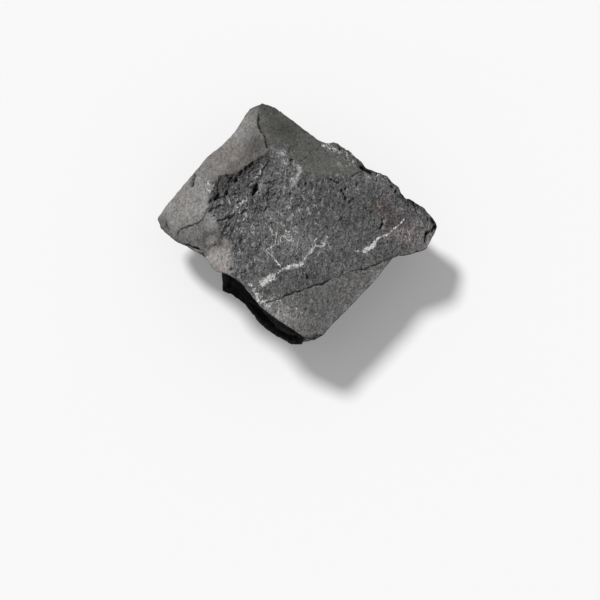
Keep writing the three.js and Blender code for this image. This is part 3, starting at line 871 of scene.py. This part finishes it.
def ground_colour(tree, look, stone):
    """Carbon-grey break and silky plates, speckled and streaked, with painted shade in the cracks and pits
    and between the splinters, and brown bloom.
    """
    patchy = (stone.grain * 0.6 + stone.streak * 0.4) * stone.hackly.ranged(0, 1, 0.68, 0.95)
    cloudy = (stone.mottle - 0.5) * 0.6
    level = (patchy + cloudy + 1.0).maths("MAXIMUM", 0.2) * stone.tone
    # Painted shade: darker deep in cracks, trenches and pits, and along the dark threads between the
    # splinters.
    level *= stone.hollow.ranged(0.1, 0.9, 1.0, 0.2)
    level *= (stone.shade * stone.hackly).ranged(0, 1, 1.0, 0.5)
    grey = node(tree, "ShaderNodeCombineColor", in_0=level, in_1=level, in_2=level).outputs[0]
    ground = blended(tree, stone.hackly, (*look.plate_colour, 1), (*look.break_colour, 1))
    ground = blended(tree, 1.0, ground, grey, "MULTIPLY")
    ground = blended(tree, stone.warmth.ranged(0, 1), ground, (*look.bloom_colour, 1), "MULTIPLY")
    return blended(tree, stone.warmth.ranged(0, -1), ground, GREEN_TINT, "MULTIPLY")


def white_mineral(tree, stone):
    """How much white mineral there is: veins broken into grains, single grains and pale threads. Where the
    flecks lie, the single grains and pale threads are partly painted glints.
    """
    distance, picked, _ = random_cells(tree, stone.mm, 1.5)
    # More single grains, and pale threads, where the flecks lie: partly painted glints.
    picked += stone.fleck * 0.3
    dot = distance.ranged(0.1, 0.25, 1, 0) * picked.ranged(0.95, 1.02, 0, 0.5)
    ragged = stone.fine * 0.55 + noise(tree, stone.mm, 1.1, 2.0) * 0.45
    broken = stone.vein + (ragged - 0.5) * 2.8
    white = broken.ranged(0.45, 0.95, smooth=True) * stone.vein.ranged(0.1, 0.4)
    pale = stone.thread * stone.fleck.maths("MULTIPLY", 0.9, clamp=True)
    return white.maths("MAXIMUM", dot).maths("MAXIMUM", pale)


def fine_relief(tree, stone, white):
    """Height in millimetres of what is too fine for the mesh."""
    plates = stone.grain * 0.055
    breaks = stone.grain * 0.11 + stone.streak * 0.08
    broad = node(tree, "ShaderNodeMix", {"data_type": "FLOAT"}, in_0=stone.hackly, in_2=plates, in_3=breaks)
    return Level(broad.outputs[0]) + white * 0.05 - stone.shade * stone.hackly * 0.12


def shungite_finish(look):
    """The stone's material."""
    material = bpy.data.materials.new("shungite")
    material.use_nodes = True
    tree = material.node_tree
    tree.nodes.clear()
    stone = stone_patterns(tree)
    white = white_mineral(tree, stone)
    dull = [DULL_MINERAL * part for part in look.vein_colour]
    mineral = blended(tree, stone.cells, (*dull, 1), (*look.vein_colour, 1))
    colour = blended(tree, white, ground_colour(tree, look, stone), mineral)
    relief = fine_relief(tree, stone, white)
    bump = node(tree, "ShaderNodeBump", Height=relief, Strength=1.0, Distance=MM).outputs[0]
    roughness = stone.hackly.ranged(0, 1, look.plate_roughness, look.break_roughness)
    roughness += (stone.fine - 0.5) * 0.2
    skin = node(tree, "ShaderNodeBsdfPrincipled", Base_Color=colour, Roughness=roughness, Normal=bump,
                Specular_IOR_Level=SHEEN)
    node(tree, "ShaderNodeOutputMaterial", Surface=skin.outputs[0])
    return material


def floor_piece(stage):
    """The plain floor, which shines a little by itself."""
    form = bmesh.new()
    bmesh.ops.create_grid(form, x_segments=1, y_segments=1, size=FLOOR_REACH)
    mesh = bpy.data.meshes.new("floor")
    form.to_mesh(mesh)
    form.free()
    paint = bpy.data.materials.new("plain_floor")
    paint.use_nodes = True
    skin = paint.node_tree.nodes["Principled BSDF"]
    skin.inputs["Base Color"].default_value = (*stage.floor_colour, 1)
    skin.inputs["Roughness"].default_value = 0.9
    skin.inputs["Emission Color"].default_value = (1, 1, 1, 1)
    skin.inputs["Emission Strength"].default_value = stage.floor_glow
    mesh.materials.append(paint)
    return bpy.data.objects.new("floor", mesh)


def main_light(stage):
    """A soft sun from the north-west."""
    sun = bpy.data.lights.new("key", "SUN")
    sun.energy = stage.key_strength
    sun.angle = stage.key_spread
    lamp = bpy.data.objects.new("key", sun)
    east, north, up = KEY_DIRECTION
    lean = math.atan2(math.hypot(east, north), up)
    lamp.rotation_euler = (lean, 0, math.atan2(north, east) + math.pi / 2)
    return lamp


def fill_world(stage):
    """Even light from all round, in front of a plain backdrop."""
    world = bpy.data.worlds.new("fill")
    world.use_nodes = True
    tree = world.node_tree
    seen = Level(node(tree, "ShaderNodeLightPath").outputs["Is Camera Ray"])
    shine = seen.ranged(0, 1, stage.fill_strength, stage.backdrop)
    tree.nodes["Background"].inputs[0].default_value = (1, 1, 1, 1)
    tree.links.new(shine.socket, tree.nodes["Background"].inputs[1])
    return world


def main_camera(stage):
    """The camera, which looks north and down."""
    view = bpy.data.cameras.new("camera")
    view.lens = LENS
    view.sensor_width = FILM_WIDTH
    view.clip_start = 0.01
    camera = bpy.data.objects.new("camera", view)
    tilt = stage.camera_elevation
    ahead = np.array([0, math.cos(tilt), -math.sin(tilt)])
    camera.location = np.array(CAMERA_AIM) * MM - stage.camera_distance * ahead
    camera.rotation_euler = (math.pi / 2 - tilt, 0, 0)
    return camera


class ShungiteStone(bpy.types.PropertyGroup):
    """Sizes and colours of the stone."""

    grid: FloatProperty(
        name="Sculpt grid", description="Size of the faces that the surface is sculpted from",
        default=0.19 * MM, min=0.15 * MM, max=2 * MM, unit="LENGTH", precision=5)
    faces: IntProperty(
        name="Triangles", description="Most triangles in the finished stone", default=190000, min=20000)
    relief: FloatProperty(
        name="Relief", description="Height of the break, as a share of the real one", default=1.0, min=0,
        max=2, subtype="FACTOR")
    crispness: FloatProperty(
        name="Crisp edges", description="Edges sharper than this stay crisp", default=math.radians(35),
        min=0, max=math.pi, subtype="ANGLE")
    softness: IntProperty(
        name="Edge wear", description="How often the edges are evened out", default=1, min=0)
    break_colour: FloatVectorProperty(
        name="Broken face", description="Colour of the rough broken face", default=(0.126, 0.124, 0.125),
        size=3, subtype="COLOR", min=0, max=1)
    plate_colour: FloatVectorProperty(
        name="Smooth plate", description="Colour of the smooth plates", default=(0.129, 0.126, 0.122),
        size=3, subtype="COLOR", min=0, max=1)
    vein_colour: FloatVectorProperty(
        name="Mineral", description="Colour of the white mineral grains", default=(0.9, 0.9, 0.88), size=3,
        subtype="COLOR", min=0, max=1)
    bloom_colour: FloatVectorProperty(
        name="Bloom", description="Tint of the brown bloom", default=(1.0, 0.86, 0.82), size=3,
        subtype="COLOR", min=0, max=1)
    plate_roughness: FloatProperty(
        name="Plate roughness", description="Roughness of the smooth plates", default=0.55, min=0, max=1,
        subtype="FACTOR")
    break_roughness: FloatProperty(
        name="Break roughness", description="Roughness of the broken face", default=0.72, min=0, max=1,
        subtype="FACTOR")


class ShungiteStage(bpy.types.PropertyGroup):
    """The floor, light and camera."""

    floor_colour: FloatVectorProperty(
        name="Floor", description="Colour of the plain floor", default=(0.68, 0.68, 0.68), size=3,
        subtype="COLOR", min=0, max=1)
    floor_glow: FloatProperty(
        name="Floor glow", description="How much the floor shines by itself", default=0.19, min=0)
    key_strength: FloatProperty(
        name="Key light", description="Strength of the main light", default=3.4, min=0)
    key_spread: FloatProperty(
        name="Key softness", description="Angle that the main light fills", default=math.radians(12), min=0,
        max=math.pi, subtype="ANGLE")
    fill_strength: FloatProperty(
        name="Fill light", description="Strength of the light from all round", default=0.28, min=0)
    backdrop: FloatProperty(
        name="Backdrop", description="Brightness of the plain backdrop above the floor", default=0.97,
        min=0)
    camera_elevation: FloatProperty(
        name="Camera elevation", description="How steeply the camera looks down", default=math.radians(75),
        min=0, max=math.pi / 2, subtype="ANGLE")
    camera_distance: FloatProperty(
        name="Camera distance", description="From the camera to its aim", default=0.4167, min=0.1,
        unit="LENGTH")


class SHUNGITE_OT_stone(bpy.types.Operator):
    """Sculpts the stone from its solid and gives it its finish"""

    bl_idname = "shungite.stone"
    bl_label = "Make stone"

    def execute(self, context):
        look = context.scene.shungite_stone
        if "shungite_stone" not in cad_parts:
            raise RuntimeError("the frame has no shungite_stone")
        piece = merged_copy("shungite_stone", "raw_shungite_stone")
        grid = piece.modifiers.new("grid", "REMESH")
        grid.mode = "VOXEL"
        grid.voxel_size = look.grid
        apply_modifiers(piece)
        sculpt(piece.data, look.relief, look.softness)
        triangles = 2 * len(piece.data.polygons)
        if triangles > look.faces:
            thin = piece.modifiers.new("thin", "DECIMATE")
            thin.ratio = look.faces / triangles
            apply_modifiers(piece)
        piece.data.shade_smooth()
        piece.data.set_sharp_from_angle(angle=look.crispness)
        piece.data.materials.clear()
        piece.data.materials.append(shungite_finish(look))
        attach(piece, "root")
        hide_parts("shungite_stone")
        return {"FINISHED"}


class SHUNGITE_OT_stage(bpy.types.Operator):
    """Lays the floor and places the light and the camera"""

    bl_idname = "shungite.stage"
    bl_label = "Set stage"

    def execute(self, context):
        stage = context.scene.shungite_stage
        floor = floor_piece(stage)
        camera = main_camera(stage)
        for thing in (floor, main_light(stage), camera):
            context.scene.collection.objects.link(thing)
        context.scene.camera = camera
        context.scene.world = fill_world(stage)
        context.scene.view_settings.view_transform = "Standard"
        return {"FINISHED"}


class SHUNGITE_PT_panel(bpy.types.Panel):
    bl_idname = "SHUNGITE_PT_panel"
    bl_label = "Raw shungite stone"
    bl_space_type = "VIEW_3D"
    bl_region_type = "UI"
    bl_category = "Shungite"

    def draw(self, context):
        for group, operator in ((context.scene.shungite_stone, "shungite.stone"),
                                (context.scene.shungite_stage, "shungite.stage")):
            box = self.layout.box()
            for name in group.bl_rna.properties.keys():
                if name not in ("rna_type", "name"):
                    box.prop(group, name)
            box.operator(operator)


CLASSES = (ShungiteStone, ShungiteStage, SHUNGITE_OT_stone, SHUNGITE_OT_stage, SHUNGITE_PT_panel)


def register():
    for part in CLASSES:
        bpy.utils.register_class(part)
    bpy.types.Scene.shungite_stone = PointerProperty(type=ShungiteStone)
    bpy.types.Scene.shungite_stage = PointerProperty(type=ShungiteStage)


def unregister():
    del bpy.types.Scene.shungite_stage
    del bpy.types.Scene.shungite_stone
    for part in reversed(CLASSES):
        bpy.utils.unregister_class(part)


def main():
    register()
    bpy.ops.shungite.stone()
    bpy.ops.shungite.stage()


if __name__ == "__main__":
    main()
